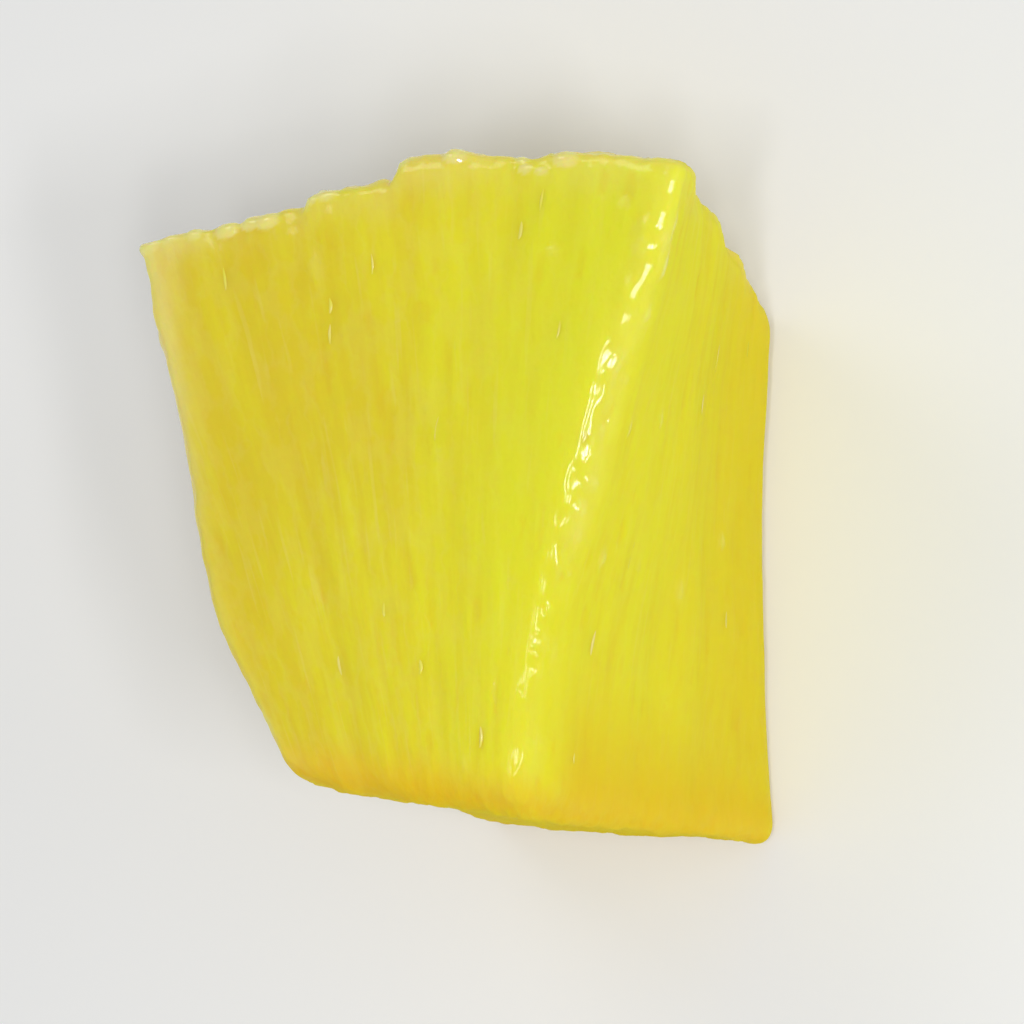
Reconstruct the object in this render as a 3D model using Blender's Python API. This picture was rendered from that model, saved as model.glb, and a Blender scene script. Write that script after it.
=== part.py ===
"""A chunk of fresh pineapple: one wedge of flesh from a thick ring slice, lying on one of its two slice cuts.

Frame: +Z up through the two slice cuts, +Y away from the fruit's core, +X to the right of that.
The origin is at the bottom centre of the chunk's box, on the flat of the lower slice cut.
"""

import math

import bmesh
import bpy
import numpy as np

MM = 0.001

# The slice that the chunk is cut from.
THICKNESS = 22.0 * MM
FRUIT_AXIS = (1.8 * MM, -35.5 * MM)

# The corners of the upper and of the lower slice cut, as (x, y).
UPPER_CUT = {
    "core_left": (-7.9 * MM, -13.8 * MM),
    "core_right": (5.6 * MM, -15.4 * MM),
    "rind_left": (-14.2 * MM, 14.1 * MM),
    "rind_right": (14.5 * MM, 13.2 * MM),
}
LOWER_CUT = {
    "core_left": (-8.0 * MM, -15.6 * MM),
    "core_right": (8.9 * MM, -16.4 * MM),
    "rind_left": (-11.8 * MM, 9.6 * MM),
    "rind_right": (9.6 * MM, 9.6 * MM),
}

# How far each side swells out or falls in from flat. The places and widths of the left belly and of the right
# dent are parts of the side, which runs from -1 at the core to 1 at the rind.
RIND_RISE = 1.1 * MM
RIND_BARREL = 1.3 * MM
CORE_HOLLOW = 0.6 * MM
LEFT_BELLY = 1.3 * MM
LEFT_BELLY_PLACE, LEFT_BELLY_WIDTH = -0.28, 0.55
RIGHT_HOLLOW = 0.5 * MM
RIGHT_DENT = 0.6 * MM
RIGHT_DENT_PLACE, RIGHT_DENT_WIDTH = -0.5, 0.5
TOP_CROWN = 0.35 * MM

# Steps in the rind side, as (x at the upper cut, height), where the peeling knife left the eyes' old walls.
# They lean to the right going down, and fade out between two parts of the thickness.
EYE_STEPS = ((-4.7 * MM, 0.8 * MM), (0.0 * MM, 0.95 * MM))
EYE_STEP_WIDTH, EYE_STEP_LEAN = 1.0 * MM, 0.45
EYE_STEP_FADED, EYE_STEP_FULL = 0.25, 0.95

# Shallow cups that the eyes left in the rind side, as (x, z).
EYE_CUPS = ((-8.4 * MM, 9.0 * MM), (-0.6 * MM, 15.5 * MM), (5.6 * MM, 7.4 * MM))
EYE_CUP_DEPTH, EYE_CUP_RADIUS = 0.9 * MM, 2.9 * MM

# The corner between the left side and the core side, cut back.
BLUNT_CORNER = 1.3 * MM

# Rounding of the cut edges, and the grid that carries it.
MEAN_SIZE = (25.0 * MM, 27.0 * MM, THICKNESS)
EDGE_RADIUS = 1.3 * MM
CELLS = 24
EDGE_CELLS = 2

# Relief: a slow unevenness, the fibres that run out from the core, and the rough rind side, which starts near
# the outer end of the unit cube. It fades out towards the level foot.
SWELL_DEPTH, SWELL_SIZE = 0.28 * MM, 7.0 * MM
FIBRE_DEPTH, FIBRE_WIDTH, FIBRE_LENGTH = 0.16 * MM, 2.4 * MM, 14.0 * MM
RIND_DEPTH, RIND_SIZE = 0.38 * MM, 3.0 * MM
RIND_STARTS, RIND_BLEND = 0.86, 0.1
LEVEL_FOOT, LEVEL_WITHIN = 2.5 * MM, 0.0001 * MM
SEED = 11

SHARP_FROM = math.radians(40)
FLESH_COLOUR = (0.72, 0.62, 0.045, 1.0)
FLESH_ROUGHNESS = 0.32
FLESH_SUBSURFACE = 0.4


def smooth_step(x):
    """0 below 0, 1 above 1, and a smooth rise between."""
    t = np.clip(x, 0.0, 1.0)
    return t * t * (3.0 - 2.0 * t)


def lattice_value(ix, iy, iz, seed):
    """A repeatable number from -1 to 1 for each whole-numbered cell corner."""
    n = ix * 73856093 + iy * 19349663 + iz * 83492791 + seed * 6291469
    n = np.bitwise_and(n, 0x7FFFFFFF)
    n = np.bitwise_and((n ^ (n >> 13)) * 1274126177, 0x7FFFFFFF)
    n = np.bitwise_and((n ^ (n >> 16)) * 668265263, 0x7FFFFFFF)
    return (n % 65536) / 32767.5 - 1.0


def noise(x, y, z, seed):
    """Smooth value noise: corner values of the cell around each point, blended by quintic weights."""
    cell = [np.floor(v).astype(np.int64) for v in (x, y, z)]
    part = [v - c for v, c in zip((x, y, z), cell)]
    fx, fy, fz = (p * p * p * (p * (p * 6.0 - 15.0) + 10.0) for p in part)
    total = np.zeros_like(fx)
    for i in (0, 1):
        for j in (0, 1):
            for k in (0, 1):
                weight = (fx if i else 1 - fx) * (fy if j else 1 - fy) * (fz if k else 1 - fz)
                total += weight * lattice_value(cell[0] + i, cell[1] + j, cell[2] + k, seed)
    return total


def cell_lines(u):
    """Moves evenly spaced grid lines on -1..1 so that EDGE_CELLS of them lie in each edge's rounding."""
    span = 2 * EDGE_RADIUS / THICKNESS
    flat_cells = CELLS / 2 - EDGE_CELLS
    cells = np.abs(u) * CELLS / 2
    flat = cells / flat_cells * (1 - span)
    edge = (1 - span) + (cells - flat_cells) / EDGE_CELLS * span
    return np.sign(u) * np.where(cells < flat_cells, flat, edge)


def rounded_cube(u):
    """Points of the cube -1..1 moved onto the same cube with edges rounded to EDGE_RADIUS at its mean size."""
    radius = 2 * EDGE_RADIUS / np.array(MEAN_SIZE)
    inner = np.clip(u, radius - 1, 1 - radius)
    out = (u - inner) / radius
    length = np.linalg.norm(out, axis=1, keepdims=True)
    return inner + radius * out / np.maximum(length, 1e-9)


def cut_corners(across, out, cut):
    """A point of a slice cut, between its four corners."""
    left, right = (1 - across) / 2, (1 + across) / 2
    core, rind = (1 - out) / 2, (1 + out) / 2
    return [
        core * (left * cut["core_left"][i] + right * cut["core_right"][i])
        + rind * (left * cut["rind_left"][i] + right * cut["rind_right"][i])
        for i in (0, 1)
    ]


def wedge(u):
    """The chunk's shape: a rounded cube carried between the two slice cuts, then swollen side by side."""
    across, out, up = u.T
    upper, lower = cut_corners(across, out, UPPER_CUT), cut_corners(across, out, LOWER_CUT)
    raised = (1 + up) / 2
    x, y = (raised * upper[i] + (1 - raised) * lower[i] for i in (0, 1))
    core, rind = (1 - out) / 2, (1 + out) / 2
    left, right = (1 - across) / 2, (1 + across) / 2
    belly = np.exp(-(((out - LEFT_BELLY_PLACE) / LEFT_BELLY_WIDTH) ** 2))
    y = y + rind * (RIND_RISE * (1 - across**2) + RIND_BARREL * (1 - up**2))
    y = y + core * CORE_HOLLOW * (1 - across**2)
    dent = np.exp(-(((out - RIGHT_DENT_PLACE) / RIGHT_DENT_WIDTH) ** 2))
    x = x - left * LEFT_BELLY * belly
    x = x - right * (RIGHT_HOLLOW * (1 - out**2) + RIGHT_DENT * dent * raised)
    lean = EYE_STEP_LEAN * THICKNESS * (1 - raised)
    kept = smooth_step((raised - EYE_STEP_FADED) / (EYE_STEP_FULL - EYE_STEP_FADED))
    for place, height in EYE_STEPS:
        past = smooth_step((x - place - lean) / EYE_STEP_WIDTH + 0.5) - 0.5
        y = y + rind**2 * height * kept * past
    blunt = (left * core) ** 3 * BLUNT_CORNER
    x, y = x + blunt, y + blunt
    z = THICKNESS * raised + TOP_CROWN * (1 - across**2) * (1 - out**2) * raised**4
    return np.stack([x, y, z], axis=1)


def eye_cups(x, z):
    """How deep the eyes' cups are at a place on the rind side: a soft-edged bowl round each centre."""
    depth = np.zeros_like(x)
    for cup_x, cup_z in EYE_CUPS:
        away = np.hypot(x - cup_x, z - cup_z) / EYE_CUP_RADIUS
        depth = np.maximum(depth, EYE_CUP_DEPTH * np.exp(-(away**4)))
    return depth


def relief(points, u):
    """How far each point stands out from the plain wedge, in metres."""
    x, y, z = points.T
    from_axis = np.hypot(x - FRUIT_AXIS[0], y - FRUIT_AXIS[1])
    turn = np.arctan2(x - FRUIT_AXIS[0], y - FRUIT_AXIS[1]) * np.mean(from_axis)
    swell = noise(x / SWELL_SIZE, y / SWELL_SIZE, z / SWELL_SIZE, SEED)
    fibres = noise(turn / FIBRE_WIDTH, from_axis / FIBRE_LENGTH, z / FIBRE_WIDTH, SEED + 1)
    rough = noise(x / RIND_SIZE, y / RIND_SIZE, z / RIND_SIZE, SEED + 2)
    on_rind = smooth_step((u[:, 1] - RIND_STARTS) / RIND_BLEND)
    cut_height = FIBRE_DEPTH * fibres
    rind_height = RIND_DEPTH * rough - eye_cups(x, z)
    height = SWELL_DEPTH * swell + cut_height * (1 - on_rind) + rind_height * on_rind
    return height * smooth_step(z / LEVEL_FOOT)


def chunk_mesh():
    """The chunk as one closed mesh, with a single level face under it."""
    mesh = bpy.data.meshes.new("pineapple_chunk")
    bm = bmesh.new()
    bmesh.ops.create_cube(bm, size=2.0)
    bmesh.ops.subdivide_edges(bm, edges=bm.edges[:], cuts=CELLS - 1, use_grid_fill=True)
    even = np.array([v.co for v in bm.verts])
    u = rounded_cube(cell_lines(even))
    points = wedge(u)
    for vert, point in zip(bm.verts, points):
        vert.co = point
    bm.normal_update()
    normals = np.array([v.normal for v in bm.verts])
    points = points + normals * relief(points, u)[:, None]
    middle = (points.min(axis=0) + points.max(axis=0)) / 2
    points[:, :2] -= middle[:2]
    for vert, point in zip(bm.verts, points):
        vert.co = point
    level = [f for f in bm.faces if max(v.co.z for v in f.verts) < LEVEL_WITHIN]
    bmesh.ops.dissolve_faces(bm, faces=level, use_verts=True)
    bm.normal_update()
    bm.to_mesh(mesh)
    bm.free()
    return mesh


def flesh_material():
    """Wet yellow flesh."""
    material = bpy.data.materials.new("pineapple_flesh")
    material.use_nodes = True
    shader = material.node_tree.nodes["Principled BSDF"]
    shader.inputs["Base Color"].default_value = FLESH_COLOUR
    shader.inputs["Roughness"].default_value = FLESH_ROUGHNESS
    shader.inputs["Metallic"].default_value = 0.0
    shader.inputs["Subsurface Weight"].default_value = FLESH_SUBSURFACE
    return material


def main():
    for old in list(bpy.data.objects):
        bpy.data.objects.remove(old)
    mesh = chunk_mesh()
    mesh.materials.append(flesh_material())
    mesh.shade_smooth()
    mesh.set_sharp_from_angle(angle=SHARP_FROM)
    chunk = bpy.data.objects.new("pineapple_chunk", mesh)
    bpy.context.scene.collection.objects.link(chunk)


main()
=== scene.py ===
"""Dresses a chunk of fresh pineapple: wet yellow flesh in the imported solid's form, and torn fibres on it."""

import math

import bmesh
import bpy
import numpy as np
from mathutils import Matrix, Vector


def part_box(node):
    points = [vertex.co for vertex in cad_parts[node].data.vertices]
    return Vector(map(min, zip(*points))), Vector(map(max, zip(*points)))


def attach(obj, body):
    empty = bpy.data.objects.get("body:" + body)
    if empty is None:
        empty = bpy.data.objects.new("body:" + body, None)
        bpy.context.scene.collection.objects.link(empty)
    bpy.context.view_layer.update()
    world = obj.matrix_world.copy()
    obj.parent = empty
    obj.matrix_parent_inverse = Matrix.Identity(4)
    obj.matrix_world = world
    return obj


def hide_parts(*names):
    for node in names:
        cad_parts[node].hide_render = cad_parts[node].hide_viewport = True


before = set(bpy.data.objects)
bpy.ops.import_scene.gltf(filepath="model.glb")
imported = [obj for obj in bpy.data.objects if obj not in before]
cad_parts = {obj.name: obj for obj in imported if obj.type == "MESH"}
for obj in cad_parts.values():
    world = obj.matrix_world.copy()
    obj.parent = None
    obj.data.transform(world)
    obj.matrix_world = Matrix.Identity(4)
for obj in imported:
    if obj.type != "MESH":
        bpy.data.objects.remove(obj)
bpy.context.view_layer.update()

bl_info = {
    "name": "Pineapple Chunk",
    "version": (1, 0, 0),
    "blender": (4, 5, 0),
    "location": "View3D > Sidebar > Pineapple",
    "description": "Builds a wet pineapple chunk, its torn fibres, and a soft studio round it",
    "category": "Add Mesh",
}

MM = 0.001
SOLID = "pineapple_chunk"
BODY = "root"

# The slice that the chunk is cut from.
THICKNESS = 22.0 * MM
FRUIT_AXIS = (1.8 * MM, -35.5 * MM)

# The corners of the upper and of the lower slice cut, as (x, y).
UPPER_CUT = {
    "core_left": (-7.9 * MM, -13.8 * MM),
    "core_right": (5.6 * MM, -15.4 * MM),
    "rind_left": (-14.2 * MM, 14.1 * MM),
    "rind_right": (14.5 * MM, 13.2 * MM),
}
LOWER_CUT = {
    "core_left": (-8.0 * MM, -15.6 * MM),
    "core_right": (8.9 * MM, -16.4 * MM),
    "rind_left": (-11.8 * MM, 9.6 * MM),
    "rind_right": (9.6 * MM, 9.6 * MM),
}

# How far each side swells out or falls in from flat, as in the solid. The places and widths of the left belly
# and of the right dent are parts of the side, which runs from -1 at the core to 1 at the rind.
RIND_RISE = 1.1 * MM
RIND_BARREL = 1.3 * MM
CORE_HOLLOW = 0.6 * MM
LEFT_BELLY = 1.3 * MM
LEFT_BELLY_PLACE, LEFT_BELLY_WIDTH = -0.28, 0.55
RIGHT_HOLLOW = 0.5 * MM
RIGHT_DENT = 0.6 * MM
RIGHT_DENT_PLACE, RIGHT_DENT_WIDTH = -0.5, 0.5
TOP_CROWN = 0.35 * MM
BLUNT_CORNER = 1.3 * MM

# Steps in the rind side, as (x at the upper cut, height), and cups that the eyes left there, as (x, z).
EYE_STEPS = ((-4.7 * MM, 0.8 * MM), (0.0 * MM, 0.95 * MM))
EYE_STEP_WIDTH, EYE_STEP_LEAN = 1.0 * MM, 0.45
EYE_STEP_FADED, EYE_STEP_FULL = 0.25, 0.95
EYE_CUPS = ((-8.4 * MM, 9.0 * MM), (-0.6 * MM, 15.5 * MM), (5.6 * MM, 7.4 * MM))
EYE_CUP_DEPTH, EYE_CUP_RADIUS = 0.9 * MM, 2.9 * MM

# The chunk's mean size, by which distances on the cube become metres, and the least length to divide by.
MEAN_SIZE, LEAST_LENGTH = (25.0 * MM, 27.0 * MM, THICKNESS), 1e-9

# How the corners of a noise's cells get their values: the steps that a corner's place and seed count for, the
# shift and factor of each round of scrambling, the bits that are kept, and how many values there are.
CORNER_STEPS = (73856093, 19349663, 83492791, 6291469)
SCRAMBLING = ((13, 1274126177), (16, 668265263))
KEPT_BITS, CORNER_VALUES = 0x7FFFFFFF, 65536

# The solid's own relief. Each size is (width, length outwards from the core).
SWELL_DEPTH, SWELL_SIZE = 0.28 * MM, (7.0 * MM, 7.0 * MM)
BROAD_DEPTH, BROAD_SIZE = 0.16 * MM, (2.4 * MM, 14.0 * MM)
RIND_DEPTH, RIND_SIZE = 0.38 * MM, (3.0 * MM, 3.0 * MM)
RIND_STARTS, RIND_BLEND = 0.86, 0.1
LEVEL_FOOT = 2.5 * MM
SEED = 11

# Grid cells along X, Y and Z, and how much finer they get towards +X, +Y and +Z.
CELLS = (128, 152, 104)
FINER = (0.0, 0.2, 0.2)

# The cut edges: sharper along the upper rind rim, softer along the upper right edge. Such an edge starts
# where the cube's two coordinates across it add up to EDGE_STARTS, and is full EDGE_BLEND further.
RIM_SHARPER, RIGHT_SOFTER = 0.6, 0.7
EDGE_STARTS, EDGE_BLEND = 1.3, 0.5

# How much rougher than the other cut edges the upper right edge's crest is, and where it starts.
RIDGE_ROUGHER = 0.4
RIDGE_STARTS, RIDGE_BLEND = 1.5, 0.4

# How much of the rind side's roughness reaches round the rim onto the cuts, and how fast it fades.
RIM_ROUGH, OUTER_BLEND = 0.3, 0.05

# The fine relief's noises. Each size is (width, length outwards). Fibres wander sideways, and a strand is a
# part of a fibre's width and length.
FIBRE_STRETCH = 9
STRAND_WIDTH, STRAND_LENGTH = 0.5, 0.6
WANDER, WANDER_SIZE = 0.5 * MM, (5.0 * MM, 9.0 * MM)
TORN_SIZE = (0.5 * MM, 2.0 * MM)
CELL_SIZE = (0.5 * MM, 1.1 * MM)
NICK_SIZE, SMALL_NICK_SIZE = (0.9 * MM, 1.2 * MM), (0.45 * MM, 0.7 * MM)
LUMP_SIZE, SMALL_LUMP_SIZE = (1.1 * MM, 1.1 * MM), (0.5 * MM, 0.5 * MM)

# The parts that the broader and the finer noise have in each.
FIBRE_MIX, NICK_MIX, LUMP_MIX = (0.6, 0.4), (0.7, 0.5), (0.6, 0.5)

# How much shallower the fibres are on the rind side and on the right side.
RIND_CALMER, RIGHT_CALMER = 0.7, 0.5

# Slits open where the torn noise passes SLIT_STARTS, and an edge's nicks fade out over EDGE_REACH.
SLIT_STARTS, SLIT_BLEND = 0.6, 0.2
EDGE_REACH = 1.4 * MM

# Where beads of juice lie, as ends on the cube across, outwards from the core and upwards.
BEAD_PLACES = {
    "left_rim": ((-0.99, -0.25), (0.965, 0.99), (0.985, 1.0)),
    "right_rim": ((-0.25, 0.9), (0.96, 1.0), (0.97, 1.0)),
    "right_edge": ((0.88, 1.0), (-0.55, 0.9), (0.92, 1.0)),
    "upper_cut": ((-0.9, 0.9), (-0.9, 0.9), (1.0, 1.0)),
    "right_cut": ((1.0, 1.0), (-0.9, 0.9), (-0.6, 0.8)),
}

# A bead's half width in millimetres, and its half length as a part of that. Past RIM_PLACE, on the rind rim,
# beads are wider and nearly round.
BEAD_WIDTHS, RIM_WIDER, RIM_PLACE = (0.20, 0.45), 1.25, 0.95
RIM_LENGTHS, DROP_LENGTHS = (0.7, 1.1), (0.9, 2.4)

# The heights of a rim bead and of a flatter drop elsewhere, as parts of the half width, and the height at
# which a bead is a whole one to the material.
BEAD_RISE, DROP_RISE = 0.38, 0.22
BEAD_FULL = 0.08 * MM

# Where loose fibres lie, as ends on the cube, with how many quarters of them lie there.
FIBRE_PLACES = {
    "upper_cut": (2, ((-0.9, 0.97), (-0.9, 0.88), (1.0, 1.0))),
    "right_cut": (1, ((1.0, 1.0), (-0.9, 0.85), (-0.7, 0.95))),
    "left_cut": (1, ((-1.0, -1.0), (-0.9, 0.85), (-0.7, 0.95))),
}

# A loose fibre: its reach outwards on the cube, its thickness beside the setting, its bow in millimetres, its
# height beside its width, its middle's depth beside its half height, the power of sine that thins its ends,
# and its grid cells along and round.
FIBRE_REACHES, FIBRE_THICKNESSES, FIBRE_BOW = (0.03, 0.09), (0.6, 1.2), 0.08
FIBRE_FLATNESS, FIBRE_SINK, FIBRE_TAPER = 0.4, 0.35, 0.6
FIBRE_STATIONS, FIBRE_SPOKES = 14, 8

# How close together a loose fibre's points have to be to count as one.
WELD_WITHIN = 0.0005 * MM

# How light meets wet flesh: how it bends, how rough the film of juice is, how far red, green and blue reach
# inside beside the depth, how much light goes in, and that depth.
JUICE_IOR, FILM_ROUGHNESS = 1.36, 0.1
LIGHT_REACH = (1.0, 0.6, 0.08)
FLESH_CLEAR, FLESH_CLEAR_DEPTH = 0.85, 3.0 * MM
FIBRE_CLEAR_DEPTH = 0.5 * MM
FIBRE_ROUGHNESS = 0.3

# The heights of the shading's grain, as (strength, height of its whole range).
FLESH_GRAIN, FIBRE_GRAIN = (0.8, 0.12 * MM), (0.2, 0.05 * MM)

# The chunk's mean distance from the fruit's axis, in millimetres.
MEAN_RADIUS = 36.0

# Noises in millimetres, as (cell size across, outwards and up), detail, roughness and distortion.
NOISES = {
    "broad": ((2.0, 12.0, 2.0), 2.0, 0.5, 0.3),
    "narrow": ((0.5, 4.5, 0.5), 2.0, 0.6, 0.35),
    "fine": ((0.32, 5.5, 0.32), 1.0, 0.5, 0.3),
    "strand": ((0.3, 1.9, 0.3), 3.0, 0.6, 0.4),
    "swell": ((1.0, 1.4, 1.0), 2.0, 0.5, 0.0),
    "cloud": ((6.0, 8.0, 6.0), 2.0, 0.5, 0.0),
    "grit": ((0.7, 0.7, 0.7), 3.0, 0.7, 0.0),
    "patch": ((2.0, 2.0, 2.0), 2.0, 0.5, 0.0),
}

# Juice cells: their size in millimetres, how far they are shaken out of line and by noise of which scale, and
# what they and the finer noises add to the grain's height.
JUICE_CELL, CELL_SHAKE, SHAKE_SCALE = (0.62, 2.3, 0.62), (1.4, 0.5, 1.4), 1.1
GRAIN_MIX = {"cells": 0.45, "strand": 0.35, "swell": 0.6}

# What the flesh's mesh tells its material: how far towards the core, the right side and the top a point lies,
# from -1 to 1, and how much of each feature is there.
MARKS = ("core", "side", "top", "edge", "rind", "fibres", "slits", "beads", "cups")

# Masks from 0 to 1, as (the value that each reads, where it is 0, where it is 1). Height is in millimetres.
MASKS = {
    "bright_streaks_and_lit_side": ("streaks_and_lit_side", 0.2, 0.8),
    "cell_walls": ("cells", 0.6, 0.3),
    "threads": ("fine", 0.6, 0.75),
    "right_side": ("side", 0.85, 1.0),
    # The next three masks place painted light: the upper cut painted lighter and greener towards the lit right
    # edge, less towards the core.
    "painted_lit_side": ("side", 0.0, 0.85),
    "painted_lit_top": ("top", 0.7, 1.0),
    "painted_lit_coreward": ("core", -0.2, 0.8),
    # The next three masks place a painted glow: paler where light shines through the upper cut's thin left
    # edge, more towards the rind.
    "band_left": ("side", -0.76, -0.97),
    "band_top": ("top", 0.5, 0.95),
    "band_rim": ("core", -0.5, -1.0),
    # The next two masks place a painted glow along the cut edges, where light shines through the thin flesh,
    # in cloudy patches.
    "cut_edge": ("edge", 0.25, 1.0),
    "edge_cloud": ("cloud", 0.35, 0.6),
    "leftward": ("side", -0.6, -1.0),
    "topward": ("top", 0.0, 0.9),
    # The next masks, past_ridge aside, place painted shade: orange at the core end (there also the flesh's own
    # tone), on the right face towards the core, lower down and on the left face.
    "core_end": ("core", 0.8, 1.0),
    "shaded_right_end": ("core", 0.4, 1.0),
    "past_ridge": ("past", -0.04, 0.04),
    "shaded_past_ridge": ("past", 0.0, 0.45),
    "low": ("height", 17.0, 1.0),
    "shaded_left_face": ("side", -0.93, -1.0),
    "rind_cloud": ("cloud", 0.3, 0.7),
    "specks": ("grit", 0.42, 0.62),
    "eyes": ("cups", 0.5, 1.0),
    "bead_rim": ("core", -0.85, -0.95),
    "sheen_top": ("top", 0.85, 1.0),
    "sheen_cloud": ("cloud", 0.4, 0.7),
    "film_core": ("core", 0.0, 0.5),
    "dry_end": ("core", 0.85, 0.97),
}

# Sums of named values times their weights. "all" is what holds everywhere.
SHARES = {
    # Fibre noise, with the side's share as painted light: more bright fibres towards the lit right side, fewer
    # and more golden on the left.
    "streaks_and_lit_side": {"broad": 0.6, "narrow": 0.4, "fibres": 0.08, "side": 0.2},
    "off_edge": {"all": 1.0, "edge": -1.0},
    "calm": {"all": 1.0, "right_face": -0.6},
    "roughness": {"all": 0.2, "cloud": 0.3},
    "kept": {"all": 1.0, "dry": -0.9},
    "drops": {"kept_edge": 1.0, "beads": 0.7},
    "coreward": {"all": 0.9, "film_core": -0.55},
    "sheen": {"all": 0.3, "right_face": -0.24, "sheen_top": -0.15},
}

# Where the flesh is orange, as (masks that are multiplied, a share of each value). The strongest one counts.
# At the core end this is partly the flesh's own tone and partly painted shade; lower down, on the left face
# and on the right face towards the core it is painted shade and orange bounced light.
CORE_AND_SHADE_ORANGE = (
    (("core_end",), {"all": 0.34, "narrow": 0.5, "edge": 0.3}),
    (("shaded_past_ridge", "shaded_right_end"), {"all": 0.75}),
    ((), {"low": 0.48, "shaded_low_right": -0.05, "shaded_left_face": 0.3}),
)

# Colours laid over the gold one after another, as (colour, masks that are multiplied, a share of each value).
LAYERS = (
    # Bright fibres, partly real and partly painted light, with more of them towards the lit right side.
    ("bright", ("bright_streaks_and_lit_side",), {"all": 1.0}),
    ("pale", ("cell_walls", "calm"), {"all": 0.10}),
    ("orange", ("tint",), {"all": 0.08}),
    ("pale", ("threads", "calm"), {"all": 0.16}),
    # Painted light: the upper cut lighter and greener towards the lit right edge.
    ("lit_lime", ("painted_lit_side", "painted_lit_top"), {"all": 0.6, "painted_lit_coreward": -0.25}),
    # Painted glow: paler along the upper cut's thin left edge, where light shines through it.
    ("pale", ("band_left", "band_top"), {"all": 0.12, "band_rim": 0.4, "narrow": 0.18}),
    # Painted glow: paler along the cut edges, where light shines through the thin flesh, most at the upper
    # left.
    ("pale", ("cut_edge", "edge_cloud"), {"all": 0.24, "upper_left": 0.5}),
    # Orange as painted shade and bounced light lower down and on the left and right faces, and at the core end
    # partly the flesh's own tone.
    ("orange", ("core_and_shade_orange",), {"all": 1.0}),
    ("rind", ("rind",), {"all": 0.4, "rind_cloud": 0.35}),
    ("eye", ("eyes",), {"all": 0.04, "specks": 0.3}),
    ("orange", ("slits",), {"all": 0.12}),
    ("pale", ("beads",), {"all": 0.08, "bead_rim": 0.8}),
)

# Where torn fibres take the flesh's colour, as the ends of a ramp over the patch noise.
PATCH_ENDS = (0.3, 0.7)

# The floor: its mottling's noise in metres, how dark that is, and its finish.
MOTTLE, MOTTLE_SHADE = ((0.05, 0.05, 0.05), 2.0, 0.5, 0.0), 0.97
FLOOR_ROUGHNESS, FLOOR_SPECULAR = 0.7, 0.2

# Soft square lights, as (the direction they come from, their side, their colour), all at one distance.
SOFT_LIGHTS = {
    "key": ((-0.5, 0.7, 0.9), 0.15, (1.0, 0.98, 0.95)),
    "side": ((0.95, 0.1, 0.45), 0.20, (1.0, 0.99, 0.97)),
    "fill": ((-0.85, -0.45, 0.3), 0.30, (1.0, 0.97, 0.92)),
}
SOFT_DISTANCE = 0.40
SKY_COLOUR = (0.95, 0.97, 1.0, 1.0)

# The window's panes, and the leans from upright at which the upper right edge mirrors them. That edge is
# turned from +Y by EDGE_TURN.
PANE_DISTANCE, PANE_SIZE, PANE_COLOUR = 0.35, (0.08, 0.022), (1.0, 1.0, 1.0)
PANE_LEANS = tuple(math.radians(degrees) for degrees in (21.0, 27.0, 33.0))
EDGE_TURN = math.radians(17.3)

# The camera: where it looks from, its roll, its sensor's width in millimetres, and how near and far it sees.
VIEW_DIRECTION, VIEW_ROLL = (0.42, -0.09, 0.903), math.radians(-2.2)
SENSOR_WIDTH = 36.0
CLIP_START, CLIP_END = 0.01, 20.0


def smooth_step(x):
    """0 below 0, 1 above 1, and 3x^2 - 2x^3 between."""
    t = np.clip(x, 0.0, 1.0)
    return t * t * (3.0 - 2.0 * t)


def lattice_value(ix, iy, iz, seed):
    """A repeatable number from -1 to 1 for each whole-numbered cell corner, by scrambling its bits."""
    n = sum(part * step for part, step in zip((ix, iy, iz, seed), CORNER_STEPS)) & KEPT_BITS
    for shift, factor in SCRAMBLING:
        n = ((n ^ (n >> shift)) * factor) & KEPT_BITS
    return 2.0 * (n % CORNER_VALUES) / (CORNER_VALUES - 1) - 1.0


def noise(place, size, seed):
    """Value noise over (across, out, up) places, whose cells have size (width, length) and lie outwards.

    It is the eight corner values round each point, blended by 6t^5 - 15t^4 + 10t^3 along each axis.
    """
    across, out, up = place
    scaled = (across / size[0], out / size[1], up / size[0])
    cell = [np.floor(v).astype(np.int64) for v in scaled]
    part = [v - c for v, c in zip(scaled, cell)]
    fx, fy, fz = (p * p * p * (p * (p * 6.0 - 15.0) + 10.0) for p in part)
    blended = np.zeros_like(fx)
    for i in (0, 1):
        for j in (0, 1):
            for k in (0, 1):
                weight = (fx if i else 1 - fx) * (fy if j else 1 - fy) * (fz if k else 1 - fz)
                blended += weight * lattice_value(cell[0] + i, cell[1] + j, cell[2] + k, seed)
    return blended


def cube_grid(counts):
    """A welded grid on a cube's six sides: whole-numbered places (i, j, k), and quads of them facing out."""
    places, quads, start = [], [], 0
    for axis in range(3):
        first, second = (axis + 1) % 3, (axis + 2) % 3
        a, b = np.meshgrid(np.arange(counts[first] + 1), np.arange(counts[second] + 1), indexing="ij")
        for end in (0, counts[axis]):
            side = np.empty(a.shape + (3,), dtype=np.int64)
            side[..., axis], side[..., first], side[..., second] = end, a, b
            number = start + np.arange(a.size).reshape(a.shape)
            ring = np.stack([number[:-1, :-1], number[1:, :-1], number[1:, 1:], number[:-1, 1:]], axis=-1)
            ring = ring.reshape(-1, 4)
            quads.append(ring if end else ring[:, ::-1])
            places.append(side.reshape(-1, 3))
            start += a.size
    places, number = np.unique(np.concatenate(places), axis=0, return_inverse=True)
    return places, number.reshape(-1)[np.concatenate(quads)]


def cube_places(places):
    """Grid places as points of the cube -1..1: even steps e moved to e + FINER * (1 - e^2)."""
    even = 2.0 * places / np.array(CELLS) - 1.0
    return even + np.array(FINER) * (1 - even**2)


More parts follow.
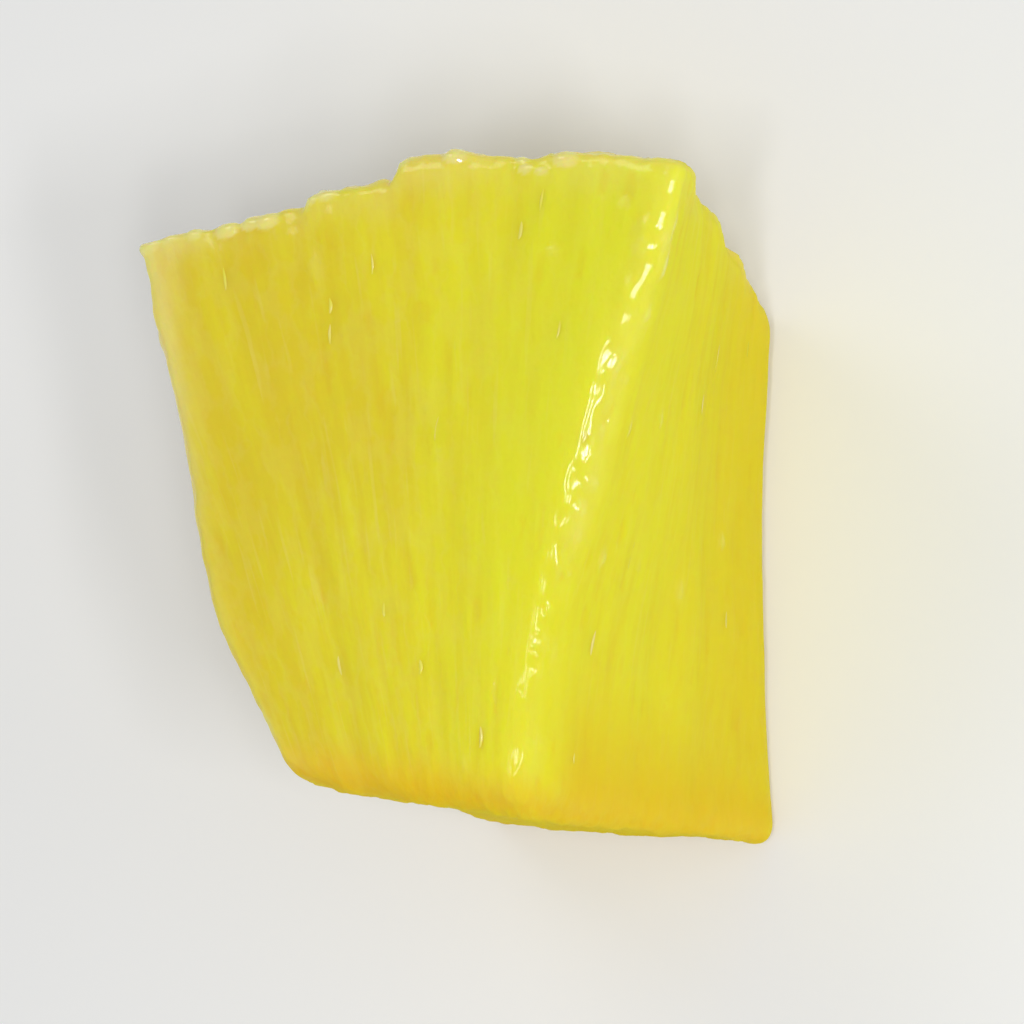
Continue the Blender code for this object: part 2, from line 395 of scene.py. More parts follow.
def rounded_cube(u, edge_radius):
    """The cube -1..1 with rounded edges: each point is pulled to a radius from the nearest point inside.

    The radius is edge_radius, less along the upper rind rim and more along the upper right edge.
    """
    at_rim = smooth_step((u[:, 1] + u[:, 2] - EDGE_STARTS) / EDGE_BLEND)
    at_right = smooth_step((u[:, 0] + u[:, 2] - EDGE_STARTS) / EDGE_BLEND) * (1 - at_rim)
    radius = edge_radius * (1 - RIM_SHARPER * at_rim) * (1 + RIGHT_SOFTER * at_right)
    radius = 2 * radius[:, None] / np.array(MEAN_SIZE)
    inner = np.clip(u, radius - 1, 1 - radius)
    out = (u - inner) / radius
    length = np.linalg.norm(out, axis=1, keepdims=True)
    return inner + radius * out / np.maximum(length, LEAST_LENGTH)


def cut_corners(across, out, cut):
    """A point of a slice cut: its four corners weighted by (1 +- across) / 2 and (1 +- out) / 2."""
    left, right = (1 - across) / 2, (1 + across) / 2
    core, rind = (1 - out) / 2, (1 + out) / 2
    return [
        core * (left * cut["core_left"][i] + right * cut["core_right"][i])
        + rind * (left * cut["rind_left"][i] + right * cut["rind_right"][i])
        for i in (0, 1)
    ]


def wedge(u):
    """The cube carried linearly between the two slice cuts, and then shaped side by side.

    The rind and top swell, and the core end and right side fall in, by 1 - t^2. The left belly and right
    dent follow exp(-t^2), and the rind's steps a smooth step over a leaning line. The corner between the left
    side and the core is cut back by the cube of its nearness.
    """
    across, out, up = u.T
    upper, lower = cut_corners(across, out, UPPER_CUT), cut_corners(across, out, LOWER_CUT)
    raised = (1 + up) / 2
    x, y = (raised * upper[i] + (1 - raised) * lower[i] for i in (0, 1))
    core, rind = (1 - out) / 2, (1 + out) / 2
    left, right = (1 - across) / 2, (1 + across) / 2
    y = y + rind * (RIND_RISE * (1 - across**2) + RIND_BARREL * (1 - up**2))
    y = y + core * CORE_HOLLOW * (1 - across**2)
    belly = np.exp(-(((out - LEFT_BELLY_PLACE) / LEFT_BELLY_WIDTH) ** 2))
    dent = np.exp(-(((out - RIGHT_DENT_PLACE) / RIGHT_DENT_WIDTH) ** 2))
    x = x - left * LEFT_BELLY * belly
    x = x - right * (RIGHT_HOLLOW * (1 - out**2) + RIGHT_DENT * dent * raised)
    lean = EYE_STEP_LEAN * THICKNESS * (1 - raised)
    kept = smooth_step((raised - EYE_STEP_FADED) / (EYE_STEP_FULL - EYE_STEP_FADED))
    for place, height in EYE_STEPS:
        past = smooth_step((x - place - lean) / EYE_STEP_WIDTH + 0.5) - 0.5
        y = y + rind**2 * height * kept * past
    blunt = (left * core) ** 3 * BLUNT_CORNER
    x, y = x + blunt, y + blunt
    z = THICKNESS * raised + TOP_CROWN * (1 - across**2) * (1 - out**2) * raised**4
    return np.stack([x, y, z], axis=1)


def eye_cups(x, z):
    """Depth of the eyes' cups: exp(-(distance / radius)^4) round each centre, the deepest kept."""
    depth = np.zeros_like(x)
    for cup_x, cup_z in EYE_CUPS:
        away = np.hypot(x - cup_x, z - cup_z) / EYE_CUP_RADIUS
        depth = np.maximum(depth, EYE_CUP_DEPTH * np.exp(-(away**4)))
    return depth


def round_axis(points):
    """Each point as (arc, out, up) about the fruit's axis.

    arc is the length round the axis at the mean radius, out the distance from the axis, and up the height.
    """
    x, y, z = points.T
    out = np.hypot(x - FRUIT_AXIS[0], y - FRUIT_AXIS[1])
    arc = np.arctan2(x - FRUIT_AXIS[0], y - FRUIT_AXIS[1]) * np.mean(out)
    return arc, out, z


def solid_relief(points, rough):
    """The solid's own unevenness: slow swells and broad fibres, with lumps and eye cups where it is rough."""
    swell = noise(points.T, SWELL_SIZE, SEED)
    fibres = noise(round_axis(points), BROAD_SIZE, SEED + 1)
    lumps = noise(points.T, RIND_SIZE, SEED + 2)
    rind_height = RIND_DEPTH * lumps - eye_cups(points[:, 0], points[:, 2])
    return SWELL_DEPTH * swell + BROAD_DEPTH * fibres * (1 - rough) + rind_height * rough


def near_edge(u):
    """Distance in metres to the nearest edge of the side: how far the second largest of |u| is short of 1."""
    return (1 - np.sort(np.abs(u), axis=1)[:, 1]) * MEAN_SIZE[2] / 2


def vertex_normals(points, quads):
    """Unit normals: each quad's crossed diagonals, summed at its four corners."""
    a, b, c, d = (points[quads[:, i]] for i in range(4))
    normal = np.cross(c - a, d - b)
    corner = quads.reshape(-1)
    each = np.repeat(normal, 4, axis=0)
    summed = np.stack([np.bincount(corner, each[:, i], len(points)) for i in range(3)], axis=1)
    return summed / np.linalg.norm(summed, axis=1, keepdims=True)


def new_mesh(name, points, quads):
    """A smooth-shaded mesh object at the origin, made from whole arrays of points and quads."""
    mesh = bpy.data.meshes.new(name)
    mesh.vertices.add(len(points))
    mesh.vertices.foreach_set("co", points.astype(np.float32).ravel())
    mesh.loops.add(quads.size)
    mesh.loops.foreach_set("vertex_index", quads.astype(np.int32).ravel())
    mesh.polygons.add(len(quads))
    mesh.polygons.foreach_set("loop_start", np.arange(0, quads.size, 4, dtype=np.int32))
    mesh.polygons.foreach_set("loop_total", np.full(len(quads), 4, dtype=np.int32))
    mesh.update(calc_edges=True)
    mesh.validate()
    mesh.shade_smooth()
    piece = bpy.data.objects.new(name, mesh)
    bpy.context.scene.collection.objects.link(piece)
    return piece


def store(piece, name, values):
    """Keeps one number for each vertex under a name that the material can read."""
    attribute = piece.data.attributes.new(name, "FLOAT", "POINT")
    attribute.data.foreach_set("value", values.astype(np.float32))


def fit_to_solid(points):
    """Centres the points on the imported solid's box, with the foot at its foot."""
    low, high = (np.array(corner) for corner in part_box(SOLID))
    middle = (points.min(axis=0) + points.max(axis=0)) / 2
    points[:, :2] += ((low + high) / 2 - middle)[:2]
    points[:, 2] += low[2] - points[:, 2].min()
    return points


def bumps(place, centres, wide, long, heights):
    """Rounded bumps over (arc, out, up) places: height * (1 - d^2), the highest kept where they overlap.

    d is the distance from a bump's centre, measured in half widths across and half lengths outwards.
    """
    highest = np.zeros(len(place))
    for centre, half_width, half_length, height in zip(centres, wide, long, heights):
        away = (place - centre) / np.array([half_width, half_length, half_width])
        highest = np.maximum(highest, height * np.clip(1 - (away**2).sum(axis=1), 0.0, None))
    return highest


def scattered(random, count, across, out, up):
    """Places on the cube drawn evenly between the ends given for each direction."""
    return np.stack([random.uniform(*ends, count) for ends in (across, out, up)], axis=1)


def nearest_place(u, wanted):
    """The grid points nearest to the wanted places on the cube."""
    return np.argmin(((u[None] - wanted[:, None]) ** 2).sum(axis=-1), axis=1)


def bead_heights(place, u, sizes):
    """Beads of juice: along both parts of the rind rim, along the upper right edge, and a few on the cuts."""
    random = np.random.default_rng(SEED + 20)
    counts = {"left_rim": sizes.rim_beads, "right_rim": sizes.rim_beads // 2, "right_edge": sizes.edge_beads}
    counts.update(upper_cut=sizes.cut_beads, right_cut=sizes.cut_beads)
    wanted = np.concatenate([scattered(random, n, *BEAD_PLACES[name]) for name, n in counts.items()])
    count = len(wanted)
    at_rim = wanted[:, 1] > RIM_PLACE
    wide = random.uniform(*BEAD_WIDTHS, count) * np.where(at_rim, RIM_WIDER, 1.0) * MM
    rim_long, drop_long = (random.uniform(*ends, count) for ends in (RIM_LENGTHS, DROP_LENGTHS))
    long = wide * np.where(at_rim, rim_long, drop_long)
    rise = np.where(at_rim, BEAD_RISE, DROP_RISE)
    return bumps(place, place[nearest_place(u, wanted)], wide, long, rise * wide)


def side_masks(u):
    """How far each point is on the rind side, on the right side and on the core end, each from 0 to 1.

    Each is a smooth step, OUTER_BLEND wide, of how far the side's own coordinate passes the others' sizes.
    """
    across, out, up = u.T
    widest = np.maximum(np.abs(across), np.abs(up))
    on_rind = smooth_step((out - widest) / OUTER_BLEND + 0.5)
    on_right = smooth_step((across - np.abs(up)) / OUTER_BLEND)
    on_core = smooth_step((-out - widest) / OUTER_BLEND)
    return on_rind, on_right, on_core


def smooth_chunk(u, quads, on_rind):
    """The wedge of the rounded cube with the solid's own relief along its normals, fading out at the foot."""
    points = wedge(u)
    rough = smooth_step((u[:, 1] - RIND_STARTS) / RIND_BLEND) * (RIM_ROUGH + (1 - RIM_ROUGH) * on_rind)
    faded = smooth_step(points[:, 2] / LEVEL_FOOT)
    return points + vertex_normals(points, quads) * (solid_relief(points, rough) * faded)[:, None]


def drawn_noises(points, place, sizes):
    """Noises drawn out from the core over (arc, out, up) places: fibres and their strands, slits, and cells.

    The places wander up to WANDER sideways, and slits open where the torn noise passes SLIT_STARTS.
    """
    arc, out, z = place.T
    wander = WANDER * noise(points.T, WANDER_SIZE, SEED + 2)
    drawn = (arc + wander, out, z - wander)
    width, length = sizes.fibre_width, sizes.fibre_width * FIBRE_STRETCH
    fibres = FIBRE_MIX[0] * noise(drawn, (width, length), SEED + 3)
    fibres += FIBRE_MIX[1] * noise(drawn, (STRAND_WIDTH * width, STRAND_LENGTH * length), SEED + 4)
    torn = noise(drawn, TORN_SIZE, SEED + 5)
    cells = noise(drawn, CELL_SIZE, SEED + 6)
    return fibres, smooth_step((torn - SLIT_STARTS) / SLIT_BLEND), cells


def rough_noises(points):
    """Nicks for the cut edges, and crumbly lumps for the rind side, whose small ones are 1 - 2|noise|."""
    nicks = NICK_MIX[0] * noise(points.T, NICK_SIZE, SEED + 7)
    nicks += NICK_MIX[1] * noise(points.T, SMALL_NICK_SIZE, SEED + 8)
    lumps = LUMP_MIX[0] * noise(points.T, LUMP_SIZE, SEED + 9)
    lumps += LUMP_MIX[1] * (1 - 2 * np.abs(noise(points.T, SMALL_LUMP_SIZE, SEED + 10)))
    return nicks, lumps


def flesh_surface(sizes):
    """The chunk's skin: the smooth chunk plus heights along its normals, and marks for its material.

    Heights: fibres + small juice cells - slits on the cuts, nicks along the cut edges, crumbly lumps on the
    rind side, all fading out at the foot, and beads of juice over them.
    """
    places, quads = cube_grid(CELLS)
    u = rounded_cube(cube_places(places), sizes.edge_radius)
    on_rind, on_right, on_core = side_masks(u)
    points = smooth_chunk(u, quads, on_rind)
    place = np.stack(round_axis(points), axis=1)
    fibres, slits, cells = drawn_noises(points, place, sizes)
    nicks, lumps = rough_noises(points)
    slits = slits * (1 - on_rind)
    edge = np.exp(-((near_edge(u) / EDGE_REACH) ** 2))
    ridge = smooth_step((u[:, 0] + u[:, 2] - RIDGE_STARTS) / RIDGE_BLEND)
    beads = bead_heights(place, u, sizes)
    height = sizes.fibre_depth * fibres * (1 - RIND_CALMER * on_rind - RIGHT_CALMER * on_right + on_core)
    height += sizes.cell_depth * cells - sizes.slit_depth * slits
    height += sizes.nick_depth * edge * nicks * (1 + RIDGE_ROUGHER * ridge)
    height += sizes.lump_depth * lumps * on_rind
    height = height * smooth_step(points[:, 2] / LEVEL_FOOT) + beads
    marks = {"core": -u[:, 1], "side": u[:, 0], "top": u[:, 2], "edge": edge, "rind": on_rind}
    marks.update(fibres=fibres, slits=slits, beads=smooth_step(beads / BEAD_FULL))
    marks["cups"] = eye_cups(points[:, 0], points[:, 2]) / EYE_CUP_DEPTH * on_rind
    points = points + vertex_normals(points, quads) * height[:, None]
    return fit_to_solid(points), quads, u, marks


def loose_fibres(starts, ends, normals, thickness, bow):
    """Many closed fibres at once: an ellipse carried from start to end, thin at both ends.

    At t along a fibre the centre is start + (end - start) * t + side * bow * sin(pi t) - normal * sink * half
    height. The half width is thickness / 2 * sin(pi t)^taper, and the half height FIBRE_FLATNESS of that.
    """
    along, round_it = np.linspace(0, 1, FIBRE_STATIONS + 1), np.linspace(0, 2 * math.pi, FIBRE_SPOKES + 1)
    t, turn = np.meshgrid(along, round_it[:-1])
    run = ends - starts
    side = np.cross(run, normals)
    side /= np.linalg.norm(side, axis=1, keepdims=True)
    half = thickness[:, None, None] / 2 * np.sin(math.pi * np.clip(t, 0, 1))[None] ** FIBRE_TAPER
    sideways = half * np.cos(turn) + bow[:, None, None] * np.sin(math.pi * t)
    upwards = FIBRE_FLATNESS * half * (np.sin(turn) - FIBRE_SINK)
    points = starts[:, None, None] + run[:, None, None] * t[None, ..., None]
    points = points + side[:, None, None] * sideways[..., None] + normals[:, None, None] * upwards[..., None]
    number = np.arange(t.size).reshape(t.shape)
    after = np.roll(number, -1, axis=0)
    ring = np.stack([number[:, :-1], number[:, 1:], after[:, 1:], after[:, :-1]], axis=-1).reshape(-1, 4)
    quads = (ring[None] + (np.arange(len(starts)) * t.size)[:, None, None]).reshape(-1, 4)
    return points.reshape(-1, 3), quads


def weld(piece):
    """Merges the points that meet at each fibre's ends."""
    bm = bmesh.new()
    bm.from_mesh(piece.data)
    bmesh.ops.remove_doubles(bm, verts=bm.verts, dist=WELD_WITHIN)
    bmesh.ops.recalc_face_normals(bm, faces=bm.faces)
    bm.to_mesh(piece.data)
    bm.free()


def feed(node, inputs):
    """Feeds a node's inputs, each by its name or number, from another socket or with a plain value."""
    for key, value in inputs.items():
        if isinstance(value, bpy.types.NodeSocket):
            node.id_data.links.new(value, node.inputs[key])
        else:
            node.inputs[key].default_value = value


def math_node(tree, operation, *values, kind="ShaderNodeMath"):
    """A Math node's output; each value is a socket or a number."""
    new = tree.nodes.new(kind)
    new.operation = operation
    feed(new, dict(enumerate(values)))
    return new.outputs[0]


def vector_node(tree, operation, *values):
    """A Vector Math node's output; each value is a socket or a vector."""
    return math_node(tree, operation, *values, kind="ShaderNodeVectorMath")


def joined(tree, operation, *values):
    """Sockets and numbers joined one after another by a Math operation."""
    result = values[0]
    for value in values[1:]:
        result = math_node(tree, operation, result, value)
    return result


def mix_colour(tree, factor, a, b):
    """A colour between a and b by factor; each is a socket or a value."""
    new = tree.nodes.new("ShaderNodeMix")
    new.data_type = "RGBA"
    a, b = (colour if isinstance(colour, bpy.types.NodeSocket) else (*colour, 1.0) for colour in (a, b))
    feed(new, {0: factor, 6: a, 7: b})
    return new.outputs[2]


def ramp(tree, value, low, high):
    """0 at low, 1 at high and smooth between, whichever of the two is greater."""
    new = tree.nodes.new("ShaderNodeMapRange")
    new.interpolation_type = "SMOOTHSTEP"
    feed(new, {"Value": value, "From Min": low, "From Max": high})
    return new.outputs["Result"]


def stretched_noise(tree, place, size, detail, roughness, distortion):
    """Noise over place, whose cells have the given sizes along its three axes, in the same unit."""
    new = tree.nodes.new("ShaderNodeTexNoise")
    feed(new, {"Scale": 1.0, "Detail": detail, "Roughness": roughness, "Distortion": distortion})
    feed(new, {"Vector": vector_node(tree, "DIVIDE", place, size)})
    return new.outputs["Fac"]


def split_vector(tree, vector):
    """A vector's three numbers."""
    new = tree.nodes.new("ShaderNodeSeparateXYZ")
    feed(new, {0: vector})
    return list(new.outputs)


def share(tree, at, weights):
    """The sum of the named values times their weights, where "all" is 1 everywhere."""
    summed = weights.get("all", 0.0)
    for name, weight in weights.items():
        if name != "all":
            summed = math_node(tree, "MULTIPLY_ADD", at[name], weight, summed)
    return summed


def strength(tree, at, masks, weights):
    """The product of the named masks and of a share."""
    return joined(tree, "MULTIPLY", *(at[name] for name in masks), share(tree, at, weights))


def new_group(name, inputs, outputs):
    """An empty shader group with named sockets of given kinds: its tree, start and end."""
    tree = bpy.data.node_groups.new(name, "ShaderNodeTree")
    for direction, sockets in (("INPUT", inputs), ("OUTPUT", outputs)):
        for socket, kind in sockets.items():
            tree.interface.new_socket(socket, in_out=direction, socket_type=f"NodeSocket{kind}")
    return tree, tree.nodes.new("NodeGroupInput"), tree.nodes.new("NodeGroupOutput")


def fruit_place_group(name):
    """Shader group: Object coordinates as (arc, out, up) in millimetres round the fruit's axis."""
    tree, start, end = new_group(name, {"Object": "Vector"}, {"Place": "Vector", "Millimetres": "Vector"})
    shifted = vector_node(tree, "SUBTRACT", start.outputs["Object"], (*FRUIT_AXIS, 0.0))
    millimetres = vector_node(tree, "DIVIDE", shifted, (MM, MM, MM))
    x, y, z = split_vector(tree, millimetres)
    squared = math_node(tree, "MULTIPLY_ADD", x, x, math_node(tree, "MULTIPLY", y, y))
    arc = math_node(tree, "MULTIPLY", math_node(tree, "ARCTAN2", x, y), MEAN_RADIUS)
    place = tree.nodes.new("ShaderNodeCombineXYZ")
    feed(place, {"X": arc, "Y": math_node(tree, "SQRT", squared), "Z": z})
    feed(end, {"Place": place.outputs[0], "Millimetres": millimetres})
    return tree


def wet_grain_group(name):
    """Shader group: juice cells and strands drawn out from the core, as a height, cells and their tints."""
    inputs = {"Place": "Vector", "Millimetres": "Vector"}
    tree, start, end = new_group(name, inputs, {"Height": "Float", "Cells": "Float", "Tint": "Float"})
    place, millimetres = start.outputs["Place"], start.outputs["Millimetres"]
    shake = tree.nodes.new("ShaderNodeTexNoise")
    feed(shake, {"Scale": SHAKE_SCALE, "Vector": millimetres})
    sized = vector_node(tree, "DIVIDE", place, JUICE_CELL)
    shaken = vector_node(tree, "MULTIPLY_ADD", shake.outputs["Color"], CELL_SHAKE, sized)
    voronoi = tree.nodes.new("ShaderNodeTexVoronoi")
    feed(voronoi, {"Scale": 1.0, "Vector": shaken})
    split = tree.nodes.new("ShaderNodeSeparateColor")
    feed(split, {0: voronoi.outputs["Color"]})
    cells = math_node(tree, "SUBTRACT", 1.0, voronoi.outputs["Distance"])
    at = {"cells": cells, "strand": stretched_noise(tree, place, *NOISES["strand"])}
    at["swell"] = stretched_noise(tree, millimetres, *NOISES["swell"])
    feed(end, {"Height": share(tree, at, GRAIN_MIX), "Cells": cells, "Tint": split.outputs[0]})
    return tree


def built_once(name, build):
    """The shader group of a name, built where it is asked for first."""
    return bpy.data.node_groups.get(name) or build(name)


def placed_groups(tree):
    """The two groups, fed with Object coordinates: the place, the millimetres and the grain's node."""
    coordinates = tree.nodes.new("ShaderNodeTexCoord")
    where = tree.nodes.new("ShaderNodeGroup")
    where.node_tree = built_once("fruit_place", fruit_place_group)
    feed(where, {"Object": coordinates.outputs["Object"]})
    place, millimetres = where.outputs["Place"], where.outputs["Millimetres"]
    grain = tree.nodes.new("ShaderNodeGroup")
    grain.node_tree = built_once("wet_grain", wet_grain_group)
    feed(grain, {"Place": place, "Millimetres": millimetres})
    return place, millimetres, grain


def attribute(tree, name):
    """The number stored on the piece under a name."""
    new = tree.nodes.new("ShaderNodeAttribute")
    new.attribute_name = name
    return new.outputs["Fac"]


def new_material(name):
    """An empty material: itself, its tree and its shader."""
    material = bpy.data.materials.new(name)
    material.use_nodes = True
    return material, material.node_tree, material.node_tree.nodes["Principled BSDF"]


def bumped(tree, shader, height, grain):
    """Feeds a height to the shader's Normal, by the grain's strength and height."""
    bump = tree.nodes.new("ShaderNodeBump")
    feed(bump, {"Strength": grain[0], "Distance": grain[1], "Height": height})
    feed(shader, {"Normal": bump.outputs["Normal"]})


def wet(shader, subsurface, depth):
    """Sets what is the same all over wet flesh: a film of juice over flesh that light enters."""
    feed(shader, {"IOR": JUICE_IOR, "Specular IOR Level": 0.0, "Coat Roughness": FILM_ROUGHNESS})
    feed(shader, {"Subsurface Weight": subsurface, "Subsurface Scale": depth})
    feed(shader, {"Subsurface Radius": LIGHT_REACH})


def flesh_values(tree):
    """All that the flesh's looks are worked out from, by name: marks, noises, masks and what they make."""
    place, millimetres, grain = placed_groups(tree)
    at = {name: attribute(tree, name) for name in MARKS}
    at.update(cells=grain.outputs["Cells"], tint=grain.outputs["Tint"], grain=grain.outputs["Height"])
    for name in ("broad", "narrow", "fine"):
        at[name] = stretched_noise(tree, place, *NOISES[name])
    for name in ("cloud", "grit"):
        at[name] = stretched_noise(tree, millimetres, *NOISES[name])
    at["height"] = split_vector(tree, millimetres)[2]
    at["past"] = math_node(tree, "SUBTRACT", at["side"], at["top"])
    at["streaks_and_lit_side"] = share(tree, at, SHARES["streaks_and_lit_side"])
    for name, (value, low, high) in MASKS.items():
        at[name] = ramp(tree, at[value], low, high)
    at["right_face"] = strength(tree, at, ("right_side",), SHARES["off_edge"])
    at["calm"] = share(tree, at, SHARES["calm"])
    at["upper_left"] = joined(tree, "MULTIPLY", at["leftward"], at["topward"])
    # Orange as painted shade lower down, on the left face and on the right face towards the core; at the core
    # end partly the flesh's own tone and partly painted shade.
    at["shaded_low_right"] = joined(tree, "MULTIPLY", at["low"], at["right_face"])
    at["core_and_shade_orange"] = joined(tree, "MAXIMUM", *(strength(tree, at, *place) for place in CORE_AND_SHADE_ORANGE))
    return at


def flesh_colour(tree, at, colours):
    """The flesh's gold with every layer mixed over it in turn."""
    colour = colours.gold
    for name, masks, weights in LAYERS:
        colour = mix_colour(tree, strength(tree, at, masks, weights), colour, getattr(colours, name))
    return colour


def juice_film(tree, at):
    """Where juice stands: on the beads and the cut edges, most towards the rind, and thinly over the rest.

    It is drops * coreward + sheen, and little of it is kept on the core end and past the upper right edge.
    """
    at["dry"] = joined(tree, "MAXIMUM", at["past_ridge"], at["dry_end"])
    kept = share(tree, at, SHARES["kept"])
    at["kept_edge"] = joined(tree, "MULTIPLY", at["edge"], kept)
    drops = joined(tree, "MULTIPLY", *(share(tree, at, SHARES[name]) for name in ("drops", "coreward")))
    sheen = joined(tree, "MULTIPLY", share(tree, at, SHARES["sheen"]), at["sheen_cloud"], kept)
    return joined(tree, "ADD", drops, sheen)


def flesh_material(colours):
    """Wet flesh: gold with bright fibres, painted light greener towards the right edge, a painted glow pale
    along the cut edges, and orange at the core end, partly its own tone and partly painted shade, with painted
    shade lower down and on the side faces.
    """
    material, tree, shader = new_material("wet_flesh")
    at = flesh_values(tree)
    feed(shader, {"Base Color": flesh_colour(tree, at, colours)})
    feed(shader, {"Roughness": share(tree, at, SHARES["roughness"]), "Coat Weight": juice_film(tree, at)})
    wet(shader, FLESH_CLEAR, FLESH_CLEAR_DEPTH)
    bumped(tree, shader, joined(tree, "MULTIPLY", at["grain"], at["calm"]), FLESH_GRAIN)
    return material


def fibre_material(colours):
    """Loose fibres: pale and wet, with patches of the flesh's bright yellow."""
    material, tree, shader = new_material("torn_fibre")
    _, millimetres, grain = placed_groups(tree)
    patch = ramp(tree, stretched_noise(tree, millimetres, *NOISES["patch"]), *PATCH_ENDS)
    feed(shader, {"Base Color": mix_colour(tree, patch, colours.bright, colours.pale)})
    feed(shader, {"Roughness": FIBRE_ROUGHNESS, "Coat Weight": 1.0})
    wet(shader, 0.0, FIBRE_CLEAR_DEPTH)
    bumped(tree, shader, grain.outputs["Height"], FIBRE_GRAIN)
    return material


def floor_material(colour):
    """A plain pale sweep with the faintest mottling."""
    material, tree, shader = new_material("pale_floor")
    coordinates = tree.nodes.new("ShaderNodeTexCoord")
    mottle = stretched_noise(tree, coordinates.outputs["Object"], *MOTTLE)
    shade = [MOTTLE_SHADE * part for part in colour]
    feed(shader, {"Base Color": mix_colour(tree, mottle, shade, colour)})
    feed(shader, {"Roughness": FLOOR_ROUGHNESS, "Specular IOR Level": FLOOR_SPECULAR})
    return material


def size_setting(name, description, default, **limits):
    """A property for a length in metres."""
    return bpy.props.FloatProperty(
        name=name, description=description, default=default, subtype="DISTANCE", **limits
    )


def count_setting(name, description, default, least, most):
    """A property for a whole number between two limits."""
    return bpy.props.IntProperty(name=name, description=description, default=default, min=least, max=most)


def colour_setting(name, description, default):
    """A property for a colour, as linear values."""
    return bpy.props.FloatVectorProperty(
        name=name, description=description, default=default, subtype="COLOR", min=0, max=1
    )


def power_setting(name, description, default):
    """A property for a light's power in watts."""
    return bpy.props.FloatProperty(
        name=name, description=description, default=default, subtype="POWER", min=0
    )


class FleshSizes(bpy.types.PropertyGroup):
    """Sizes of the flesh's fine surface, and how many beads and loose fibres lie on it."""

    edge_radius: size_setting("Edge radius", "Rounding of the cut edges", 1.3 * MM, min=0.2 * MM)
    fibre_width: size_setting("Fibre width", "Width of one fibre", 0.9 * MM, min=0.3 * MM)
    fibre_depth: size_setting("Fibre depth", "Height of the fibres on the cuts", 0.06 * MM)
    cell_depth: size_setting("Cell depth", "Height of the small juice cells", 0.025 * MM)
    slit_depth: size_setting("Slit depth", "Depth of the small torn slits", 0.05 * MM)
    nick_depth: size_setting("Nick depth", "Unevenness of the cut edges", 0.10 * MM)
    lump_depth: size_setting("Lump depth", "Height of the crumbly rind side", 0.12 * MM)
    edge_beads: count_setting("Edge beads", "Beads of juice along the upper right edge", 26, 2, 200)
    rim_beads: count_setting("Rim beads", "Beads on the rind rim's left, and half as many beyond", 12, 2, 200)
    cut_beads: count_setting("Cut beads", "Beads on each of the upper and the right cut", 6, 1, 200)
    fibre_count: count_setting("Torn fibres", "Loose fibres that lie on the cuts", 28, 4, 400)
    fibre_thickness: size_setting("Torn fibre thickness", "Thickness of a loose fibre", 0.18 * MM)


class FleshColours(bpy.types.PropertyGroup):
    """Colours of the flesh, as linear values."""

    gold: colour_setting("Gold", "Flesh between the fibres", (0.715, 0.575, 0.038))
    bright: colour_setting("Bright", "Fibres", (0.77, 0.725, 0.034))
    # This greener yellow is painted light, laid where the upper cut is lit most, near the right edge.
    lit_lime: colour_setting("Lime", "Flesh near the right edge", (0.725, 0.76, 0.040))
    # Pale is the fibres', cell walls' and beads' own tone, and also a painted glow along the thin left edge
    # and the cut edges.
    pale: colour_setting("Pale", "Thin wet edges", (0.82, 0.70, 0.22))
    # Orange is partly the flesh's own tone near the core, and partly painted shade and orange bounced light:
    # at the core end, lower down and on the left and right faces.
    orange: colour_setting("Orange", "Flesh near the core", (0.76, 0.47, 0.018))
    rind: colour_setting("Rind side", "Flesh under the rind", (0.87, 0.665, 0.125))
    eye: colour_setting("Eye", "What the eyes left in their cups", (0.66, 0.31, 0.03))


class StageSettings(bpy.types.PropertyGroup):
    """Floor, lights and camera."""

    floor_size: size_setting("Floor size", "Side of the floor", 3.0, min=0.2)
    floor_colour: colour_setting("Floor colour", "Pale floor", (0.88, 0.88, 0.87))
    key_power: power_setting("Key", "Soft light from above", 0.147)
    fill_power: power_setting("Fill", "Soft light from the left", 0.10)
    side_power: power_setting("Side", "Soft light from the right", 0.12)
    window_power: power_setting("Window", "Three panes of light that glint on the right edge", 0.62)
    sky: bpy.props.FloatProperty(name="Sky", description="Even light all round", default=0.44, min=0)
    lens: bpy.props.FloatProperty(
        name="Lens", description="Focal length in millimetres", default=220.0, min=20
    )
    view_width: size_setting("View width", "Width of the view at the chunk", 49.0 * MM)


def finished(piece, material, replaced=None):
    """Gives a piece its material, body and slot, and the solid that it stands for."""
    piece.data.materials.clear()
    piece.data.materials.append(material)
    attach(piece, BODY)
    if replaced:
        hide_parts(replaced)


class PINEAPPLE_OT_flesh(bpy.types.Operator):
    """Builds the chunk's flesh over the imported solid"""

    bl_idname = "pineapple.flesh"
    bl_label = "Build Flesh"

    def execute(self, context):
        points, quads, _, marks = flesh_surface(context.scene.flesh_sizes)
        piece = new_mesh("chunk_flesh", points, quads)
        for name, values in marks.items():
            store(piece, name, values)
        finished(piece, flesh_material(context.scene.flesh_colours), SOLID)
        return {"FINISHED"}


